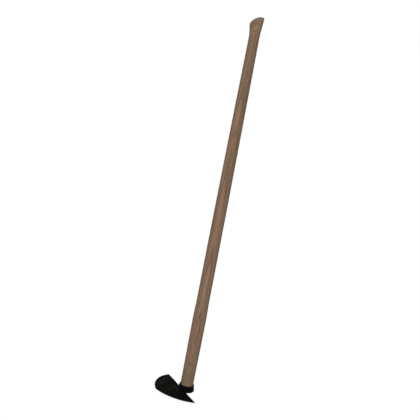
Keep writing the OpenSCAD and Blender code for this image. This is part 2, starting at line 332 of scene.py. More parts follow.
def ash_wood(name, light, dark, pore_and_shade, olive, russet, end_tint):
    """Old bare ash.

    It has growth rings round a leaning pith, pores in dashes along the grain, fibres, stains, grey dirt,
    painted rim shade.
    """
    wood = Shader(name, IOR=1.22)
    x, y, z = (wood.node("ShaderNodeSeparateXYZ", {}, {0: wood.object}, output=i) for i in range(3))
    end, rim_shade_share = (
        wood.node("ShaderNodeAttribute", {"attribute_name": attribute}, output="Fac")
        for attribute in ("end_grain", "painted_rim_shade"))

    # Distance from the pith, with the bend near the head that gives the grain its arches
    bend = ((z - PITH_BEND_Z) / PITH_BEND_REACH).math("TANH") * PITH_BEND
    from_pith_x = x - PITH_X + z * PITH_LEAN_X
    from_pith_y = y - PITH_Y + z * PITH_LEAN_Y
    pith = (from_pith_x * from_pith_x + from_pith_y * from_pith_y) ** 0.5 + bend
    waver = wood.noise(along_grain(16, 220), 2.0) * 0.8 + wood.noise(along_grain(50, 900), 1.0) * 2.0
    ring = (pith / RING_W + waver).math("FRACT")
    early = ring.ramp(0.0, 0.07) * (1 - ring.ramp(0.14, 0.4))
    late = ring.ramp(0.5, 0.97)

    fibre = wood.noise(along_grain(0.6, 40), 3.0, 0.65)
    streak = wood.noise(along_grain(2.2, 120), 2.0)
    band = wood.noise(along_grain(9, 350), 2.0)
    dash = wood.noise(along_grain(0.3, 5.5), 1.0)
    pores = dash.ramp(0.5, 0.6) * early + dash.ramp(0.66, 0.72) * 0.5
    smudge = wood.noise(along_grain(20, 55), 3.0, 0.6)
    patch = wood.noise(along_grain(30, 110), 2.0, 0.6)

    # The wood is paler at the butt, olive just over the eye and ruddy above that
    worn_pale = z.ramp(1165 * MM, 1200 * MM) * 0.3
    over_eye = 1 - z.ramp(50 * MM, 100 * MM)
    ruddy = z.ramp(70 * MM, 95 * MM) * (1 - z.ramp(190 * MM, 260 * MM))
    tone = fibre * 0.5 + streak.ramp(0.2, 0.8) * 0.4 + band.ramp(0.25, 0.75) * 0.35
    tone = tone + worn_pale - late * 0.18 - early * 0.32
    shade = wood.blend(tone, dark, light)
    shade = wood.blend(pores * 0.8, shade, pore_and_shade)
    shade = wood.blend(patch.ramp(0.56, 0.7) * 0.45 + ruddy * 0.3, shade, russet)
    shade = wood.blend(over_eye * 0.4 + (1 - patch.ramp(0.34, 0.5)) * 0.5, shade, olive)
    shade = wood.blend(smudge.ramp(0.56, 0.8) * 0.45, shade, pore_and_shade)

    # The slanted end: rings, fibre ends and short checks that run towards the pith
    turn = from_pith_y.math("ARCTAN2", from_pith_x)
    polar = wood.node("ShaderNodeCombineXYZ", {}, {0: turn * PITH_AWAY, 1: pith, 2: z * 0.05})
    checks = wood.noise((1.1 * MM, 11 * MM, 20 * MM), 1.0, where=polar).ramp(0.64, 0.72)
    end_dark = early * 0.5 + late * 0.12 + fibre * 0.2 + smudge.ramp(0.45, 0.75) * 0.3
    end_rings = wood.blend(end_dark, end_tint, pore_and_shade)
    end_rings = wood.blend(checks * 0.7, end_rings, pore_and_shade)
    shade = wood.blend(end * 0.9, shade, end_rings)
    # Painted shade: the rounded rim of the slanted end is darkened towards the pore colour
    shade = wood.blend(rim_shade_share * 0.6, shade, pore_and_shade)

    height = fibre * 0.25 - early * 0.35 - pores * 0.7 - checks * end
    wood.feed(
        Base_Color=shade,
        Roughness=0.6 - tone * 0.1 + smudge * 0.12 + end * 0.2,
        Normal=wood.bump(height, 0.8, GRAIN_BUMP))
    return wood.material


def black_steel(name, scale, rubbed_and_sheen, rust, gloss=1.07):
    """Forged steel under black scale: mottled, grey where worn or where a sheen is painted, brown in its
    pits.
    """
    steel = Shader(name, IOR=gloss)
    wear_and_sheen = steel.node("ShaderNodeAttribute", {"attribute_name": "wear_and_sheen"}, output="Fac")
    mottle = steel.noise(even_cell(24), 5.0, 0.62, 0.4)
    fine = steel.noise(even_cell(2.2), 3.0, 0.6)
    hammer = steel.noise(even_cell(11), 1.0, 0.3)
    # The share towards the rubbed colour: worn places, and on the blade a painted sheen
    bare = wear_and_sheen * (0.35 + fine * 1.3) + mottle.ramp(0.45, 0.72) * 0.17
    shade = steel.blend(bare, scale, rubbed_and_sheen)
    pitted = steel.noise(even_cell(6), 4.0, 0.7)
    shade = steel.blend(pitted.ramp(0.56, 0.7) * (0.3 + wear_and_sheen * 0.5), shade, rust)
    normal = steel.bump(hammer, 0.4, HAMMER_BUMP)
    steel.feed(
        Base_Color=shade,
        Roughness=0.5 + mottle * 0.3 - fine * 0.12,
        Normal=steel.bump(fine, 0.35, SCALE_BUMP, normal))
    return steel.material


# Meshes


def piece(name, points, faces, material, node):
    """A closed mesh that rides with the tool and stands for one node of the CAD model."""
    mesh = bpy.data.meshes.new(name)
    mesh.from_pydata(points.tolist(), [], faces)
    shell = bmesh.new()
    shell.from_mesh(mesh)
    bmesh.ops.remove_doubles(shell, verts=shell.verts, dist=MERGE)
    bmesh.ops.dissolve_degenerate(shell, dist=MERGE, edges=shell.edges)
    bmesh.ops.recalc_face_normals(shell, faces=shell.faces)
    shell.to_mesh(mesh)
    shell.free()
    mesh.polygons.foreach_set("use_smooth", np.ones(len(mesh.polygons), bool))
    made = bpy.data.objects.new(name, mesh)
    bpy.context.scene.collection.objects.link(made)
    mesh.materials.append(material)
    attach(made, "root")
    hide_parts(node)
    return made


def vertices(made):
    """The points of a piece, one row each."""
    places = np.zeros(len(made.data.vertices) * 3, np.float32)
    made.data.vertices.foreach_get("co", places)
    return places.reshape(-1, 3).astype(float)


def mark(made, name, share):
    """Stores a value between 0 and 1 on each point of a piece, for its material."""
    attribute = made.data.attributes.new(name, "FLOAT", "POINT")
    attribute.data.foreach_set("value", np.clip(share, 0, 1).astype(np.float32))


def grid_faces(rows, columns, closed, first=0):
    """Quads between neighbouring rows of points. A closed grid joins its last column to its first."""
    row, column = np.meshgrid(np.arange(rows - 1), np.arange(columns - (not closed)), indexing="ij")
    after = (column + 1) % columns
    low, high = first + row * columns, first + (row + 1) * columns
    quads = np.stack([low + column, low + after, high + after, high + column], axis=-1)
    return quads.reshape(-1, 4).tolist()


def joined(*grids):
    """One list of points and one of faces from several grids, each given with whether its rows close."""
    points, faces, first = [], [], 0
    for grid, closed in grids:
        rows, columns = grid.shape[:2]
        points.append(grid.reshape(-1, 3))
        faces += grid_faces(rows, columns, closed, first)
        first += rows * columns
    return np.concatenate(points), faces


def ease(share):
    """A share from 0 to 1 that starts and ends slowly: three times its square less twice its cube."""
    return share * share * (3 - 2 * share)


def step(value, low, high):
    """0 below low, 1 above high, eased between."""
    return ease(np.clip((value - low) / (high - low), 0, 1))


def stripe(value, middle, width):
    """A soft stripe: the bell curve of the value's distance from the middle over the width."""
    return np.exp(-((value - middle) / width) ** 2)


def ripple(points, size, seed, waves=28):
    """Smooth unevenness with a spread of 0.5.

    It is the sum of plane waves in random directions, with wavelengths near size.
    """
    draw = np.random.default_rng(seed)
    way = draw.normal(size=(waves, points.shape[-1]))
    way /= np.linalg.norm(way, axis=1, keepdims=True)
    waves_per_metre = TAU / (size * draw.uniform(0.7, 1.7, waves))
    phase = draw.uniform(0, TAU, waves)
    return np.sin(points @ (way * waves_per_metre[:, None]).T + phase).sum(-1) / math.sqrt(2 * waves)


def hammered(points, centres, radius):
    """How deep the hammer marks are, from 0 to 1: the deepest of the round bowls over each point."""
    flat = points.reshape(-1, points.shape[-1])
    deepest = np.zeros(len(flat))
    for centre, reach in zip(centres, radius):
        away = ((flat - centre) ** 2).sum(-1) / reach ** 2
        deepest = np.maximum(deepest, 1 - away)
    return deepest.reshape(points.shape[:-1])


def lathe(radius, height, angle):
    """A profile turned round Z, with a row for each of its points and a column for each angle."""
    x, y = radius[:, None] * np.cos(angle), radius[:, None] * np.sin(angle)
    return np.stack([x, y, height[:, None] + 0 * angle], axis=-1)


# The handle


def handle_radius(z):
    """The handle's radius at height z.

    It has a tapered tenon, a slow rise to the swell, an eased fall to the shoulder and a bowed taper.
    """
    tenon = BORE_LOW_R - EYE_FIT + (BORE_TOP_R - BORE_LOW_R) * z / EYE_H
    neck = NECK_R + (SWELL_R - NECK_R) * np.clip((z - EYE_H) / (SWELL_Z - EYE_H), 0, 1)
    fall = SWELL_R + (SHOULDER_R - SWELL_R) * ease(np.clip((z - SWELL_Z) / (SHOULDER_Z - SWELL_Z), 0, 1))
    along = np.clip((z - SHOULDER_Z) / (WAIST_Z - SHOULDER_Z), 0, 1)
    taper = SHOULDER_R + (WAIST_R - SHOULDER_R) * along ** TAPER_BOW
    above = np.where(z < SWELL_Z, neck, np.where(z < SHOULDER_Z, fall, taper))
    return np.where(z < EYE_H, tenon, above)


def waist_fillet(points):
    """The points moved out by a parabola near the waist, which fills the crease between shaft and flare."""
    side = points[..., :1] / WAIST_R
    crease = WAIST_Z + WAIST_SKEW * side + WAIST_SKEW_BOW * side ** 2
    reach = np.maximum(WAIST_FILLET - abs(points[..., 2:] - crease), 0)
    slope = math.tan(FLARE_ANGLE) - math.tan(FLARE_LEAN) * side
    out = slope * reach ** 2 / (4 * WAIST_FILLET)
    return points + out * points / WAIST_R * np.array([1, 1, 0])


def over_cut(points):
    """Height above the plane of the slanted end."""
    return (points - np.array([0, 0, HANDLE_L])) @ CUT_NORMAL


def past_flat(points):
    """How far points lie outside the flat round part of the slanted end, measured along its plane.

    The flat is a little wider on its low side, where the flank alone bounds the butt.
    """
    from_cut = points - np.array([0, 0, HANDLE_L])
    along = from_cut @ CUT_ALONG
    low_spare = 1.5 * MM * step(-along, 6 * MM, 20 * MM)
    return np.hypot(along - BUTTON_SHIFT, from_cut[..., 1]) - BUTTON_R + END_ROUND_R - low_spare


def butt_points(direction):
    """Where rays from BUTT_START leave the butt, found by halving.

    The flank is the shaft or the leaning cone of the flare, whichever is larger. The button is the slanted
    end with its round. Below the round it opens steeply, so that the flank alone bounds the butt there. The
    butt is inside both, with a worn edge between them.
    """
    flare_way = np.array([-math.sin(FLARE_LEAN), 0, math.cos(FLARE_LEAN)])

    def outside(point):
        from_waist = point - np.array([0, 0, WAIST_Z])
        up = from_waist @ flare_way
        across = np.linalg.norm(from_waist - up[..., None] * flare_way, axis=-1)
        cone = (across - WAIST_R - up * math.tan(FLARE_ANGLE)) * math.cos(FLARE_ANGLE)
        flank = np.minimum(cone, np.hypot(point[..., 0], point[..., 1]) - WAIST_R)
        rim = past_flat(point)
        deep = over_cut(point) + END_ROUND_R
        rounded = np.where(rim > 0, np.hypot(np.maximum(rim, 0), deep), deep)
        button = np.where(deep > 0, rounded, rim + 2 * deep) - END_ROUND_R
        share = np.clip(0.5 + 0.5 * (flank - button) / END_WORN, 0, 1)
        return button + (flank - button) * share + END_WORN * share * (1 - share)

    near = np.zeros(direction.shape[:-1])
    far = near + 2 * FLARE_L
    for _ in range(BUTT_HALVINGS):
        half_way = (near + far) / 2
        out = outside(BUTT_START + direction * half_way[..., None]) > 0
        far = np.where(out, half_way, far)
        near = np.where(out, near, half_way)
    return BUTT_START + direction * near[..., None]


def butt_rays(round_way, lift):
    """The butt's points on rays that lift from level towards the slanted end's middle, at a quarter turn."""
    rays = round_way[None] * np.cos(lift)[..., None] + BUTT_POLE * np.sin(lift)[..., None]
    return butt_points(rays / np.linalg.norm(rays, axis=-1, keepdims=True))


def slot_share(across, thickness, edge):
    """How deep a wedge's slot is at a place across it: 0 at its flanks and 1 over the wedge's thin edge."""
    return np.clip((thickness / 2 - abs(across)) / (thickness / 2 - edge / 2), 0, 1)


def handle_foot(turns):
    """The handle's lower end, as heights over a square grid that is clipped to the round end.

    A slot for the wooden wedge runs along y and a shorter one for the steel wedge crosses it.
    """
    across = (BORE_LOW_R - EYE_FIT) * np.cos(turns)
    slot_ends = np.array([-STEEL_WEDGE_L / 2, STEEL_WEDGE_L / 2])
    across = np.sort(np.concatenate([across, slot_ends * 0.999, slot_ends * 1.001]))
    one_side = np.concatenate([[STEEL_WEDGE_EDGE / 2, STEEL_WEDGE_T / 2], FOOT_ROWS])
    along = np.concatenate([-one_side[::-1], [0], one_side])
    x, y = np.meshgrid(across, along, indexing="ij")
    steel_share = slot_share(y, STEEL_WEDGE_T, STEEL_WEDGE_EDGE) * (abs(x) < STEEL_WEDGE_L / 2)
    wood_depth = slot_share(x, WOOD_WEDGE_T, WOOD_WEDGE_EDGE) * (WOOD_WEDGE_DEPTH - FOOT_Z)
    depth = np.maximum(wood_depth, steel_share * (STEEL_WEDGE_DEPTH - FOOT_Z))
    rim = np.sqrt(np.maximum(handle_radius(FOOT_Z + wood_depth) ** 2 - x ** 2, 0))
    on_rim = abs(y) >= rim
    z = FOOT_Z + np.where(on_rim, wood_depth, depth)
    return np.stack([x, np.clip(y, -rim, rim), z], axis=-1)


def make_handle(material):
    """The whole handle as closed grids: the slotted foot, rings up the shaft and rays over the butt."""
    half_turn = np.linspace(0, math.pi, HALF_TURN_COLUMNS)
    foot_r = BORE_LOW_R - EYE_FIT
    # The columns nearest to the wooden wedge's flanks move onto them
    for edge in (WOOD_WEDGE_T / 2, WOOD_WEDGE_EDGE / 2):
        for side in (-edge, edge):
            wanted = math.acos(side / foot_r)
            half_turn[np.argmin(abs(half_turn - wanted))] = wanted
    foot = handle_foot(half_turn)
    angle = np.concatenate([half_turn, TAU - half_turn[-2:0:-1]])
    round_way = np.stack([np.cos(angle), np.sin(angle), np.zeros(len(angle))], axis=-1)

    heights = np.concatenate([
        [WOOD_WEDGE_DEPTH + 1 * MM],
        EYE_H + np.array([-1, -0.2, 0.6, 1.5, 3]) * MM,
        np.linspace(EYE_H + 6 * MM, BUTT_START[2], SHAFT_RINGS)])
    shaft = round_way[None] * handle_radius(heights)[:, None, None]
    shaft[..., 2] = heights[:, None]
    shaft = waist_fillet(shaft * (1 + hand_shaping(shaft)[..., None] * np.array([1, 1, 0])))

    rim_x = foot_r * np.cos(angle)
    foot_rim_z = FOOT_Z + slot_share(rim_x, WOOD_WEDGE_T, WOOD_WEDGE_EDGE) * (WOOD_WEDGE_DEPTH - FOOT_Z)
    rim_y = np.sign(np.sin(angle)) * np.sqrt(np.maximum(handle_radius(foot_rim_z) ** 2 - rim_x ** 2, 0))
    foot_rim = np.stack([rim_x, rim_y, foot_rim_z], axis=-1)

    # The lift at which each column of rays meets the rim of the slanted end
    low, high = np.zeros(len(angle)), np.full(len(angle), TAU / 4)
    for _ in range(RIM_HALVINGS):
        rim_lift = (low + high) / 2
        on_flank = over_cut(butt_rays(round_way, rim_lift[None])[0]) < -END_WORN / 2
        low, high = np.where(on_flank, rim_lift, low), np.where(on_flank, high, rim_lift)
    flank = 1 - np.linspace(1, 0, FLANK_ROWS)[1:-1] ** 1.5
    face = np.linspace(0, 1, END_ROWS) ** 1.6
    lift = np.concatenate([rim_lift * flank[:, None], rim_lift + (TAU / 4 - rim_lift) * face[:, None]])
    butt = waist_fillet(butt_rays(round_way, lift))
    butt += butt_wear(butt)[..., None] * CUT_NORMAL

    body = np.concatenate([foot_rim[None], shaft, butt])
    points, faces = joined((foot, False), (body, True))
    made = piece("ash_handle", points, faces, material, "handle")

    points = vertices(made)
    end_share = np.clip(over_cut(points) / END_WORN + 1.5, 0, 1) + (points[:, 2] < 2 * FOOT_Z)
    mark(made, "end_grain", end_share)
    # Painted shade: a share on the rounded rim of the slanted end, which the wood's material darkens
    mark(made, "painted_rim_shade", step(past_flat(points), 0, 5 * MM) * step(over_cut(points), -8 * MM, -1.5 * MM))
    return made


def hand_shaping(points):
    """Long shallow flats of the spokeshave and small knocks, all inwards, as a share of the radius."""
    flats = ripple(points * np.array([1, 1, 0.06]), 14 * MM, seed=11) * 0.006
    knocks = np.maximum(ripple(points * np.array([1, 1, 0.5]), 16 * MM, seed=12) - 0.9, 0) * 0.02
    clear_of_eye = step(points[..., 2], EYE_H + 1 * MM, EYE_H + 25 * MM)
    clear_of_flare = 1 - step(points[..., 2], WAIST_Z - 30 * MM, WAIST_Z - 2 * MM)
    return -(abs(flats) + knocks) * clear_of_eye * clear_of_flare


def butt_wear(points):
    """The slanted end is a little sunk and uneven, and the flank below it is not."""
    depth = np.clip(-over_cut(points) / (3 * MM), 0, 1)
    sunk = END_SUNK + END_UNEVEN * np.minimum(ripple(points, 9 * MM, seed=13) ** 2, 1)
    return -sunk * (1 - ease(depth))


# The forged head


def from_blade_frame(reach, y, z):
    """Points in the part's frame from reach past the blade's top edge, y and height over its upper face."""
    x = -BLADE_SET - reach * math.cos(BLADE_RISE) + z * math.sin(BLADE_RISE)
    up = BLADE_Z + reach * math.sin(BLADE_RISE) + z * math.cos(BLADE_RISE)
    return np.stack([x, y + 0 * x, up], axis=-1)


def to_blade_frame(points):
    """The reach, y and height over the blade's upper face of points in the part's frame."""
    out, up = -points[:, 0] - BLADE_SET, points[:, 2] - BLADE_Z
    reach = out * math.cos(BLADE_RISE) + up * math.sin(BLADE_RISE)
    return reach, points[:, 1], up * math.cos(BLADE_RISE) - out * math.sin(BLADE_RISE)


def plate_loops(upper, lower, thickness, worn):
    """Sections of a plate, one closed loop for each row of across positions.

    A loop runs over the upper face, round the far edge, back along the lower face and round the near edge.
    Each edge is rounded by worn. It returns the across positions and the depths under the upper face.
    """
    near, far = upper[:, :1], upper[:, -1:]
    room = np.minimum(worn, (far - near) / 3)
    shrink = (far - near - 2 * room) / np.maximum(far - near, 1e-9)
    inner_upper, inner_lower = near + room + (upper - near) * shrink, near + room + (lower - near) * shrink
    far_t, near_t = thickness(far), thickness(near)
    far_worn, near_worn = np.minimum(worn, far_t / 2.5), np.minimum(worn, near_t / 2.5)
    # Each rounded edge has one more point, this share of the way in from its two ends
    bend = 0.3
    across = np.concatenate([
        inner_upper, far - bend * room, far, far, far - bend * room,
        inner_lower, near + bend * room, near, near, near + bend * room], axis=1)
    depth = np.concatenate([
        0 * upper, bend * far_worn, far_worn, far_t - far_worn, far_t - bend * far_worn,
        thickness(lower), near_t - bend * near_worn, near_t - near_worn, near_worn, bend * near_worn], axis=1)
    return across, depth


def cutting_edge(y, inset=0.0):
    """Reach of the cutting edge at y: one arc on each side of the middle, a small arc at the point."""
    radius = BLADE_SIDE_R - inset
    arc = ARC_X + np.sqrt(np.maximum(radius ** 2 - (abs(y) - ARC_Y) ** 2, 0))
    if inset:
        return arc
    tangent_y = -ARC_Y * POINT_R / (BLADE_SIDE_R - POINT_R)
    tip = POINT_X + np.sqrt(np.maximum(POINT_R ** 2 - y ** 2, 0))
    edge = np.where(abs(y) < tangent_y, tip, arc)
    past = np.clip(abs(y) - CORNER_Y, 0, CORNER_R)
    corner = CORNER_R + np.sqrt(np.maximum(CORNER_R ** 2 - past ** 2, 0))
    return np.where(abs(y) > CORNER_TANGENT_Y, corner, edge)


def top_edge(y, z):
    """Reach of the top edge at y and height z over the blade.

    It is straight, with the eye's notch and two round corners. The notch's radius goes with the height and
    the height with the reach, so it is found in a few rounds.
    """
    reach = np.zeros(np.broadcast(y, z).shape)
    for _ in range(4):
        height = BLADE_Z + reach * math.sin(BLADE_RISE) + z * math.cos(BLADE_RISE)
        notch = EYE_LOW_R - height * EYE_SLOPE + NOTCH_FIT
        out = np.sqrt(np.maximum(notch ** 2 - y ** 2, 0)) - BLADE_SET + z * math.sin(BLADE_RISE)
        reach = np.maximum(out / math.cos(BLADE_RISE), 0)
    past = np.clip(abs(y) - CORNER_Y, 0, CORNER_R)
    return np.maximum(reach, CORNER_R - np.sqrt(np.maximum(CORNER_R ** 2 - past ** 2, 0)))


def make_blade(material):
    """The blade as a row of closed sections along y, with a ground bevel under the cutting edge.

    The plate is a little warped, its faces carry hammer marks and its cutting edge is worn into small waves.
    """
    outer = CORNER_Y + CORNER_R
    notch_y = math.sqrt((EYE_LOW_R - BLADE_Z * EYE_SLOPE + NOTCH_FIT) ** 2 - BLADE_SET ** 2)
    tip_y = np.linspace(0, POINT_R * 0.25, 5)
    first, last = (math.asin((edge_y - ARC_Y) / BLADE_SIDE_R) for edge_y in (POINT_R * 0.3, CORNER_TANGENT_Y))
    edge_y = ARC_Y + BLADE_SIDE_R * np.sin(np.linspace(first, last, EDGE_COLUMNS))
    corner_turn = math.asin((CORNER_TANGENT_Y - CORNER_Y) / CORNER_R)
    corner_y = CORNER_Y + CORNER_R * np.sin(np.linspace(corner_turn, TAU / 4, 7)[1:])
    one_side = np.sort(np.concatenate([tip_y, edge_y, corner_y, notch_y + np.array([-0.05, 0.05]) * MM]))
    y = np.concatenate([-one_side[:0:-1], one_side])[:, None]
    near = top_edge(y, -BLADE_T / 2)
    edge = np.concatenate([cutting_edge(y), y], axis=1)
    long_waves = np.maximum(ripple(edge, 13 * MM, seed=21), 0) * 0.3 * MM
    nicks = np.maximum(ripple(edge, 4 * MM, seed=22) - 0.6, 0) * 0.4 * MM
    clear_of_corner = 1 - step(abs(y), CORNER_Y - 12 * MM, CORNER_Y - 1 * MM)
    far = np.maximum(cutting_edge(y) - (long_waves + nicks)[:, None] * clear_of_corner, near)
    bevel = np.clip(cutting_edge(y, BEVEL_W), near, far)

    upper = near + (far - near) * np.linspace(0, 1, UPPER_ROWS)
    bevel_rows = far + (bevel - far) * np.concatenate([np.linspace(0, 0.93, BEVEL_ROWS), [1]])
    flat_rows = bevel + (near - bevel) * np.concatenate([[0.012], np.linspace(0.04, 1, LOWER_ROWS)])
    lower = np.concatenate([bevel_rows, flat_rows], axis=1)

    def thickness(reach):
        from_centre = np.hypot(reach - ARC_X, abs(y) - ARC_Y)
        return EDGE_T + (BLADE_T - EDGE_T) * np.clip((BLADE_SIDE_R - from_centre) / BEVEL_W, 0, 1)

    across, depth = plate_loops(upper, lower, thickness, EDGE_WORN)
    side = y + 0 * across
    flat = np.stack([across, side], axis=-1)
    clear_of_tongue = step(np.hypot(across - 20 * MM, side), 22 * MM, 60 * MM)
    warp = ripple(flat, 110 * MM, seed=23) * BLADE_WARP * clear_of_tongue
    draw = np.random.default_rng(24)
    centres = draw.uniform([0, -outer], [BLADE_L, outer], (BLADE_MARKS, 2))
    upper_marks = hammered(flat, centres, draw.uniform(*BLADE_MARK_R, BLADE_MARKS))
    lower_marks = hammered(flat, centres[::-1] * [1, -1], draw.uniform(*BLADE_MARK_R, BLADE_MARKS))
    on_upper = depth < 0.2 * MM
    on_lower = depth >= BLADE_T - 0.3 * MM
    marked = clear_of_tongue * (on_upper | on_lower) * step(far - across, 1 * MM, 6 * MM) * BLADE_MARK_DEPTH
    z = -depth + warp + marked * np.where(on_upper, -upper_marks, lower_marks)
    loops = from_blade_frame(across, side, z)
    points, faces = joined((loops, True))
    made = piece("forged_blade", points, faces, material, "blade")
    reach, side, z = to_blade_frame(vertices(made))
    from_edge = BLADE_SIDE_R - np.hypot(reach - ARC_X, abs(side) - ARC_Y)
    ground = (1 - step(from_edge, BEVEL_W - 0.5 * MM, BEVEL_W)) * step(-z, 0.4 * MM, 0.7 * MM)
    edge_wear = (1 - step(from_edge, 0.3 * MM, 3 * MM)) * 0.7
    # Two soft bands of painted sheen on the upper face run along the edge on its +Y half
    painted_sheen_bands = stripe(from_edge, 17 * MM, 2.2 * MM) + 0.7 * stripe(from_edge, 27 * MM, 2.6 * MM)
    painted_sheen_bands *= step(side, 22 * MM, 40 * MM) * (1 - step(side, 62 * MM, 80 * MM)) * (z > -BLADE_T / 2)
    # The blade's share holds real edge and bevel wear plus the bands of painted sheen
    mark(made, "wear_and_sheen", edge_wear + ground * 0.8 + painted_sheen_bands * 0.4)
    return made


def eye_outside(z):
    """The eye's outside radius at height z."""
    return EYE_LOW_R - z * EYE_SLOPE


def make_eye(material):
    """The forged eye: a ring turned from a worn section, a hollow neck and the tongue below it."""
    angle = np.linspace(0, TAU, EYE_COLUMNS, endpoint=False)
    lean = math.atan(EYE_SLOPE)
    low_round, top_round = np.linspace(-TAU / 4, lean, 10), np.linspace(lean, TAU / 4, 9)
    low_centre = eye_outside(EYE_ROUND_LOW) - EYE_ROUND_LOW / math.cos(lean)
    top_centre = eye_outside(EYE_H - EYE_ROUND_TOP) - EYE_ROUND_TOP / math.cos(lean)
    wall = np.linspace(
        EYE_ROUND_LOW * (1 + math.sin(lean)), EYE_H - EYE_ROUND_TOP * (1 - math.sin(lean)), EYE_WALL_ROWS)
    lip = 0.5 * MM
    radius = np.concatenate([
        [BORE_TOP_R, (BORE_TOP_R + BORE_LOW_R) / 2, BORE_LOW_R, BORE_LOW_R + 0.4 * MM, BORE_LOW_R + 1.6 * MM],
        low_centre + EYE_ROUND_LOW * np.cos(low_round),
        eye_outside(wall[1:-1]),
        top_centre + EYE_ROUND_TOP * np.cos(top_round),
        [BORE_TOP_R + lip, BORE_TOP_R + 0.3 * lip]])
    height = np.concatenate([
        [EYE_H - lip, EYE_H / 2, 0.4 * MM, 0, 0],
        EYE_ROUND_LOW * (1 + np.sin(low_round)),
        wall[1:-1],
        EYE_H - EYE_ROUND_TOP * (1 - np.sin(top_round)),
        [EYE_H, EYE_H - 0.3 * lip]])
    ring = lathe(radius, height, angle)
    draw = np.random.default_rng(31)
    mark_turn, mark_z = draw.uniform(0, TAU, EYE_MARKS), draw.uniform(0, EYE_H, EYE_MARKS)
    mark_r = 25 * MM
    centres = np.stack([mark_r * np.cos(mark_turn), mark_r * np.sin(mark_turn), mark_z], axis=-1)
    on_outside = step(radius, BORE_TOP_R + 1.2 * MM, BORE_TOP_R + 2.4 * MM)[:, None]
    marks = hammered(ring, centres, draw.uniform(*EYE_MARK_R, EYE_MARKS)) * EYE_MARK_DEPTH
    uneven = ripple(ring, 30 * MM, seed=32) * 0.2 * MM
    # The wall stays plain where the neck joins it
    at_neck = (1 - step(abs(angle - math.pi), 0.85, 1.1)) * (1 - step(height[:, None], 13 * MM, 18 * MM))
    inwards = (0.05 * MM + marks + abs(uneven)) * on_outside * (1 - at_neck)
    ring[..., 0] -= inwards * np.cos(angle)
    ring[..., 1] -= inwards * np.sin(angle)
    # The upper rim is a little uneven, lower at the sides than over the blade
    rim_share = step(ring[..., 2], EYE_H * 0.5, EYE_H)
    rim_drop = 0.45 * MM * (1 + np.cos(2 * (angle - RIM_LOW_TURN)))
    rim_drop = rim_drop + ripple(ring, 24 * MM, seed=33) * 0.3 * MM
    ring[..., 2] -= np.maximum(rim_drop, 0) * rim_share
    ring = np.concatenate([ring, ring[:1]])

    points, faces = joined((ring, True), (neck_loops(), True), (tongue_loops(), True))
    made = piece("forged_eye", points, faces, material, "eye_collar")
    points = vertices(made)
    from_axis = np.hypot(points[:, 0], points[:, 1])
    rims = step(points[:, 2], EYE_H - 4.5 * MM, EYE_H - 2 * MM) + 1 - step(points[:, 2], 0.3 * MM, 2 * MM)
    mark(made, "wear_and_sheen", rims * 0.5 * step(from_axis, BORE_TOP_R + 1 * MM, BORE_TOP_R + 2.5 * MM))
    return made


def neck_loops():
    """The neck as closed radial sections round the eye's front.

    It is a hollow fillet from the wall down to the blade. Its back is inside the wall and its foot is under
    the blade's upper face, so that no gap shows.
    """
    turn = np.linspace(-1, 1, NECK_SECTIONS)[:, None]
    swell = ease(np.clip(1.25 - 1.25 * abs(turn), 0, 1))
    turn = turn * NECK_SPREAD
    reach_out = NECK_L * swell
    rise = NECK_RISE * swell
    bend = np.linspace(0, TAU / 4, NECK_ROWS)
    in_wall, under_face = -2 * MM + 0 * turn, -0.7 * MM + 0 * turn
    out = np.concatenate([reach_out, reach_out * (1 - np.sin(bend)), in_wall, in_wall], axis=1)
    up = np.concatenate([under_face, rise * (1 - np.cos(bend)), rise, under_face], axis=1)
    foot_x = (eye_outside(BLADE_Z + 1 * MM) + out) * np.cos(turn)
    blade_up = BLADE_Z + (foot_x - BLADE_SET) * math.tan(BLADE_RISE)
    z = blade_up + up
    inset = 0.25 * MM * (up / (rise + 1 * MM)) ** 2
    uneven = ripple(np.stack([foot_x, z], axis=-1), 9 * MM, seed=34) * 0.12 * MM
    radius = eye_outside(z) - inset + out + uneven * step(reach_out - up, -3 * MM, 2 * MM)
    loops = np.stack([-radius * np.cos(turn), radius * np.sin(turn), z], axis=-1)
    ends = loops[[0, -1]].mean(axis=1, keepdims=True) + 0 * loops[[0, -1]]
    return np.concatenate([ends[:1], loops, ends[1:]])


def tongue_loops():
    """The tongue as closed sections along its reach.

    It has tapered sides, a round end, and an underside that is ground clear of the floor.
    """
    root = BORE_LOW_R + 2.5 * MM - BLADE_SET
    taper_end = TONGUE_L - TONGUE_END_R
    straight = np.linspace(root, taper_end, TONGUE_SECTIONS)
    bend = taper_end + TONGUE_END_R * np.sin(np.linspace(0, TAU / 4, TONGUE_SECTIONS)[1:])
    reach = np.concatenate([[root], straight, bend])[:, None]
    neck_end = EYE_LOW_R - BLADE_Z * EYE_SLOPE - BLADE_SET + NECK_L
    share = np.clip((reach - neck_end) / (taper_end - neck_end), 0, 1)
    side = TONGUE_ROOT_W / 2 + (TONGUE_END_R - TONGUE_ROOT_W / 2) * share
    end_side = np.sqrt(np.maximum(TONGUE_END_R ** 2 - (reach - taper_end) ** 2, 0))
    half = np.where(reach > taper_end, end_side, side)
    half[0] = 0
    upper = half * np.linspace(-1, 1, TONGUE_COLUMNS)
    across, depth = plate_loops(upper, upper[:, ::-1], lambda y: TONGUE_T + 0 * y, TONGUE_WORN)
    reach = reach + 0 * across
    flat = np.stack([reach, across], axis=-1)
    draw = np.random.default_rng(35)
    centres = draw.uniform([5 * MM, -18 * MM], [35 * MM, 18 * MM], (TONGUE_MARKS, 2))
    marks = hammered(flat, centres, draw.uniform(*TONGUE_MARK_R, TONGUE_MARKS)) * TONGUE_MARK_DEPTH
    z = -BLADE_T - depth + np.where(depth > TONGUE_T * 0.6, marks, 0)
    loops = from_blade_frame(reach, across, z)
    loops[..., 2] = np.maximum(loops[..., 2], TONGUE_CLEAR)
    return loops


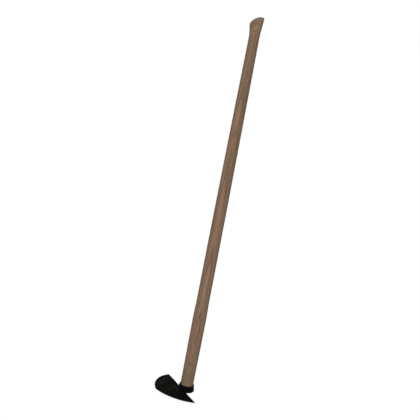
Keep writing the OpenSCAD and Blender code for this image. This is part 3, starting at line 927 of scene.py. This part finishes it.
def turned(radius, height, columns, seed, uneven):
    """A closed surface turned from a profile that starts and ends on its axis, a little out of round."""
    angle = np.linspace(0, TAU, columns, endpoint=False)
    grid = lathe(radius, height, angle)
    out = 1 - abs(ripple(np.stack([np.cos(angle), np.sin(angle)], axis=-1), 1.6, seed)) * uneven
    grid[..., :2] *= (radius > 0)[:, None, None] * out[:, None]
    return grid


def dome(diameter, height, rows):
    """Radius and height along a flat dome, from its rim to its crown."""
    ball_r = (diameter ** 2 / 4 + height ** 2) / (2 * height)
    lean = np.linspace(math.asin(diameter / 2 / ball_r), 0, rows)
    return ball_r * np.sin(lean), ball_r * np.cos(lean) - ball_r + height


def blows(grid, crown, seed, depth):
    """Flattens a head by hammer blows: each is a leaning plane that takes off what stands above it."""
    draw = np.random.default_rng(seed)
    leans, turns, lows = draw.uniform(0.1, 0.34, BLOWS), np.arange(BLOWS) * 2.4, draw.uniform(0.1, 1.0, BLOWS)
    for lean, turn, low in zip(leans, turns, lows):
        way = np.array([math.sin(lean) * math.cos(turn), math.sin(lean) * math.sin(turn), math.cos(lean)])
        over = grid @ way - (crown - depth * low) * math.cos(lean) - BLOW_OFF * math.sin(lean)
        grid = grid - np.maximum(over, 0)[..., None] * way * (grid[..., 2:] > 0.25 * crown)
    return grid


def make_rivet(name, side, node, seed, material):
    """A rivet: a hammered dome on the blade, its shank, and a lower hammered tail under the tongue."""
    head_r, head_z = dome(RIVET_HEAD_D, RIVET_HEAD_H, 16)
    tail_r, tail_z = dome(RIVET_HEAD_D, RIVET_TAIL_H, 12)
    grip = BLADE_T + TONGUE_T
    rim = RIVET_HEAD_D / 2
    shank = RIVET_D / 2
    radius = np.concatenate([head_r[::-1], [rim, shank, shank, rim], tail_r])
    # The heads reach a little into the plates, so that no gap shows under their rims
    head_foot, tail_foot = -0.25 * MM, 0.25 * MM - grip
    height = np.concatenate([head_z[::-1], [head_foot, head_foot, tail_foot, tail_foot], -grip - tail_z])
    grid = turned(radius, height, columns=56, seed=seed, uneven=0.03)
    grid = blows(grid, RIVET_HEAD_H, seed + 1, 0.28 * MM)
    grid = blows(grid * [1, 1, -1] - [0, 0, grip], RIVET_TAIL_H, seed + 2, 0.2 * MM)
    grid = (grid + [0, 0, grip]) * [1, 1, -1]
    loops = from_blade_frame(RIVET_OUT - grid[..., 0], side * RIVET_PITCH / 2 + grid[..., 1], grid[..., 2])
    points, faces = joined((loops, True))
    made = piece(name, points, faces, material, node)
    height = to_blade_frame(vertices(made))[2]
    crown_wear = step(height, 0.5 * RIVET_HEAD_H, RIVET_HEAD_H)
    mark(made, "wear_and_sheen", crown_wear + 0.4 * step(-height, grip, grip + RIVET_TAIL_H))
    return made


def make_nail(material):
    """The nail through the back of the eye: a hammered head, a straight shank and a drawn point."""
    head_r, head_z = dome(NAIL_HEAD_D, NAIL_HEAD_H, 14)
    shank = NAIL_D / 2
    radius = np.concatenate([head_r[::-1], [NAIL_HEAD_D / 2, shank, shank, 0]])
    height = np.concatenate([head_z[::-1], [-0.3 * MM, -0.3 * MM, NAIL_D - NAIL_L, -NAIL_L]])
    grid = turned(radius, height, columns=48, seed=51, uneven=0.04)
    grid = blows(grid, NAIL_HEAD_H, 52, 0.3 * MM)
    lean = math.atan(EYE_SLOPE)
    along = np.array([math.cos(lean), 0, math.sin(lean)])
    up = np.array([-math.sin(lean), 0, math.cos(lean)])
    start = np.array([eye_outside(NAIL_Z) - 0.2 * MM, 0, NAIL_Z])
    points = start + grid[..., 2:] * along + grid[..., :1] * up + grid[..., 1:2] * np.array([0, 1, 0])
    points, faces = joined((points, True))
    made = piece("hammered_nail", points, faces, material, "retaining_nail")
    mark(made, "wear_and_sheen", step((vertices(made) - start) @ along, 0.6 * MM, NAIL_HEAD_H))
    return made


handle_wood = ash_wood(
    "handle_wood",
    light=colour(0.312, 0.198, 0.123), dark=colour(0.118, 0.07, 0.043), pore_and_shade=colour(0.042, 0.028, 0.019),
    olive=colour(0.175, 0.132, 0.076), russet=colour(0.24, 0.125, 0.092), end_tint=colour(0.205, 0.152, 0.11))
wedge_wood = ash_wood(
    "wedge_wood",
    light=colour(0.31, 0.21, 0.14), dark=colour(0.17, 0.10, 0.06), pore_and_shade=colour(0.06, 0.035, 0.022),
    olive=colour(0.2, 0.15, 0.09), russet=colour(0.25, 0.14, 0.09), end_tint=colour(0.22, 0.16, 0.11))
blade_steel = black_steel(
    "blade_steel", scale=colour(0.0049, 0.005, 0.0042), rubbed_and_sheen=colour(0.024, 0.024, 0.021),
    rust=colour(0.018, 0.0105, 0.006), gloss=1.02)
eye_steel = black_steel(
    "eye_steel", scale=colour(0.0019, 0.0023, 0.0021), rubbed_and_sheen=colour(0.018, 0.019, 0.018),
    rust=colour(0.009, 0.007, 0.005))
rivet_steel = black_steel(
    "rivet_steel", scale=colour(0.0035, 0.0036, 0.0033), rubbed_and_sheen=colour(0.026, 0.026, 0.024),
    rust=colour(0.016, 0.01, 0.007))
wedge_steel = black_steel(
    "wedge_steel", scale=colour(0.05, 0.043, 0.038), rubbed_and_sheen=colour(0.09, 0.075, 0.065),
    rust=colour(0.075, 0.035, 0.018))
nail_steel = black_steel(
    "nail_steel", scale=colour(0.03, 0.025, 0.021), rubbed_and_sheen=colour(0.08, 0.068, 0.058),
    rust=colour(0.07, 0.032, 0.016))

make_handle(handle_wood)
make_blade(blade_steel)
make_eye(eye_steel)
make_rivet("hammered_rivet_left", 1, "rivet_left", 41, rivet_steel)
make_rivet("hammered_rivet_right", -1, "rivet_right", 45, rivet_steel)
make_nail(nail_steel)
# The two wedges keep the CAD's own shapes
for node, material in (("wood_wedge", wedge_wood), ("steel_wedge", wedge_steel)):
    node_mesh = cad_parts[node].data
    node_mesh.materials.clear()
    node_mesh.materials.append(material)


# Floor, light and camera


FLOOR_HALF = 60.0
FLOOR_DROP = 0.4 * MM
FLOOR_GREY = 0.42
# How bright the floor is where it is seen directly, and the share of it that keeps no shadow
FLOOR_SHOWN = 1.07
FLOOR_PLAIN = 0.9
EVEN_LIGHT = 0.15
SUN_SPREAD = math.radians(36)


def make_floor():
    """A wide floor just under the eye, white to the camera, clear from below, with the tool's soft shadow."""
    half, low = FLOOR_HALF, -FLOOR_DROP
    corners = [(-half, -half, low), (half, -half, low), (half, half, low), (-half, half, low)]
    mesh = bpy.data.meshes.new("floor")
    mesh.from_pydata(corners, [], [(0, 1, 2, 3)])
    made = bpy.data.objects.new("floor", mesh)
    bpy.context.scene.collection.objects.link(made)
    pale = Shader("pale_floor", Roughness=0.9, Specular_IOR_Level=0.0)
    pale.surface.inputs["Base Color"].default_value = grey(FLOOR_GREY)
    seen = pale.seen_directly()
    plain = pale.node("ShaderNodeEmission", {}, {"Color": grey(1.0), "Strength": FLOOR_SHOWN})
    surface = Wire(pale, pale.surface.outputs[0])
    mixed = pale.node("ShaderNodeMixShader", {}, {0: seen * FLOOR_PLAIN, 1: surface, 2: plain})
    below = pale.node("ShaderNodeNewGeometry", output="Backfacing")
    clear = pale.node("ShaderNodeBsdfTransparent")
    sided = pale.node("ShaderNodeMixShader", {}, {0: below, 1: mixed, 2: clear})
    pale.tree.links.new(sided.socket, pale.tree.nodes["Material Output"].inputs["Surface"])
    mesh.materials.append(pale.material)


def make_world():
    """White behind the tool, also in its gloss, and a low even light on it."""
    world = bpy.data.worlds.new("studio")
    bpy.context.scene.world = world
    world.use_nodes = True
    sky = Shader.on_tree(world.node_tree)
    even = sky.node("ShaderNodeBackground", {}, {"Color": grey(1.0), "Strength": EVEN_LIGHT})
    white = sky.node("ShaderNodeBackground", {}, {"Color": grey(1.0), "Strength": 1.0})
    mixed = sky.node("ShaderNodeMixShader", {}, {0: sky.seen_directly(), 1: even, 2: white})
    sky.tree.links.new(mixed.socket, sky.tree.nodes["World Output"].inputs["Surface"])


def soft_sun(name, turn, rise, spread, strength):
    """A sun of the given spread that shines from a turn and a rise, both measured as the camera's."""
    lamp = bpy.data.lights.new(name, "SUN")
    lamp.angle = spread
    lamp.energy = strength
    made = bpy.data.objects.new(name, lamp)
    bpy.context.scene.collection.objects.link(made)
    made.rotation_euler = back_way(turn, rise).to_track_quat("Z", "Y").to_euler()


# The camera looks down past the handle at the head, a little rolled, as fitted to the photograph's outlines
CAMERA_TURN = math.radians(-33.01)
CAMERA_RISE = math.radians(19.5)
CAMERA_ROLL = math.radians(10.99)
CAMERA_REACH = 3.5
LOOK_AT = Vector((0, 0, 0.61))
FRAME_WIDTH = 420
SENSOR = 36.0
FOCAL_PIXELS = 1142.06
MIDDLE_X, MIDDLE_Y = 219.07, 214.86
FRAME_MIDDLE = (FRAME_WIDTH - 1) / 2


def back_way(turn, rise):
    """The unit vector from the tool towards a place at the compass turn and the rise given."""
    return Vector((math.sin(turn) * math.cos(rise), -math.cos(turn) * math.cos(rise), math.sin(rise)))


def make_camera():
    """The camera, with its roll and the small shift of its frame."""
    back = back_way(CAMERA_TURN, CAMERA_RISE)
    level = Vector((math.cos(CAMERA_TURN), math.sin(CAMERA_TURN), 0))
    upright = back.cross(level)
    right = level * math.cos(CAMERA_ROLL) + upright * math.sin(CAMERA_ROLL)
    up = upright * math.cos(CAMERA_ROLL) - level * math.sin(CAMERA_ROLL)
    lens = bpy.data.cameras.new("camera")
    lens.sensor_width = SENSOR
    lens.lens = FOCAL_PIXELS / FRAME_WIDTH * SENSOR
    lens.shift_x = -(MIDDLE_X - FRAME_MIDDLE) / FRAME_WIDTH
    lens.shift_y = (MIDDLE_Y - FRAME_MIDDLE) / FRAME_WIDTH
    lens.clip_end = 200
    made = bpy.data.objects.new("camera", lens)
    bpy.context.scene.collection.objects.link(made)
    turn = Matrix((right, up, back)).transposed()
    made.matrix_world = Matrix.Translation(LOOK_AT + back * CAMERA_REACH) @ turn.to_4x4()
    bpy.context.scene.camera = made


make_floor()
make_world()
make_camera()
soft_sun("key", turn=CAMERA_TURN - math.radians(5), rise=math.radians(38), spread=SUN_SPREAD, strength=3.0)
soft_sun("back", turn=CAMERA_TURN + math.pi, rise=math.radians(48), spread=SUN_SPREAD, strength=1.1)

bpy.context.scene.view_settings.view_transform = "Standard"
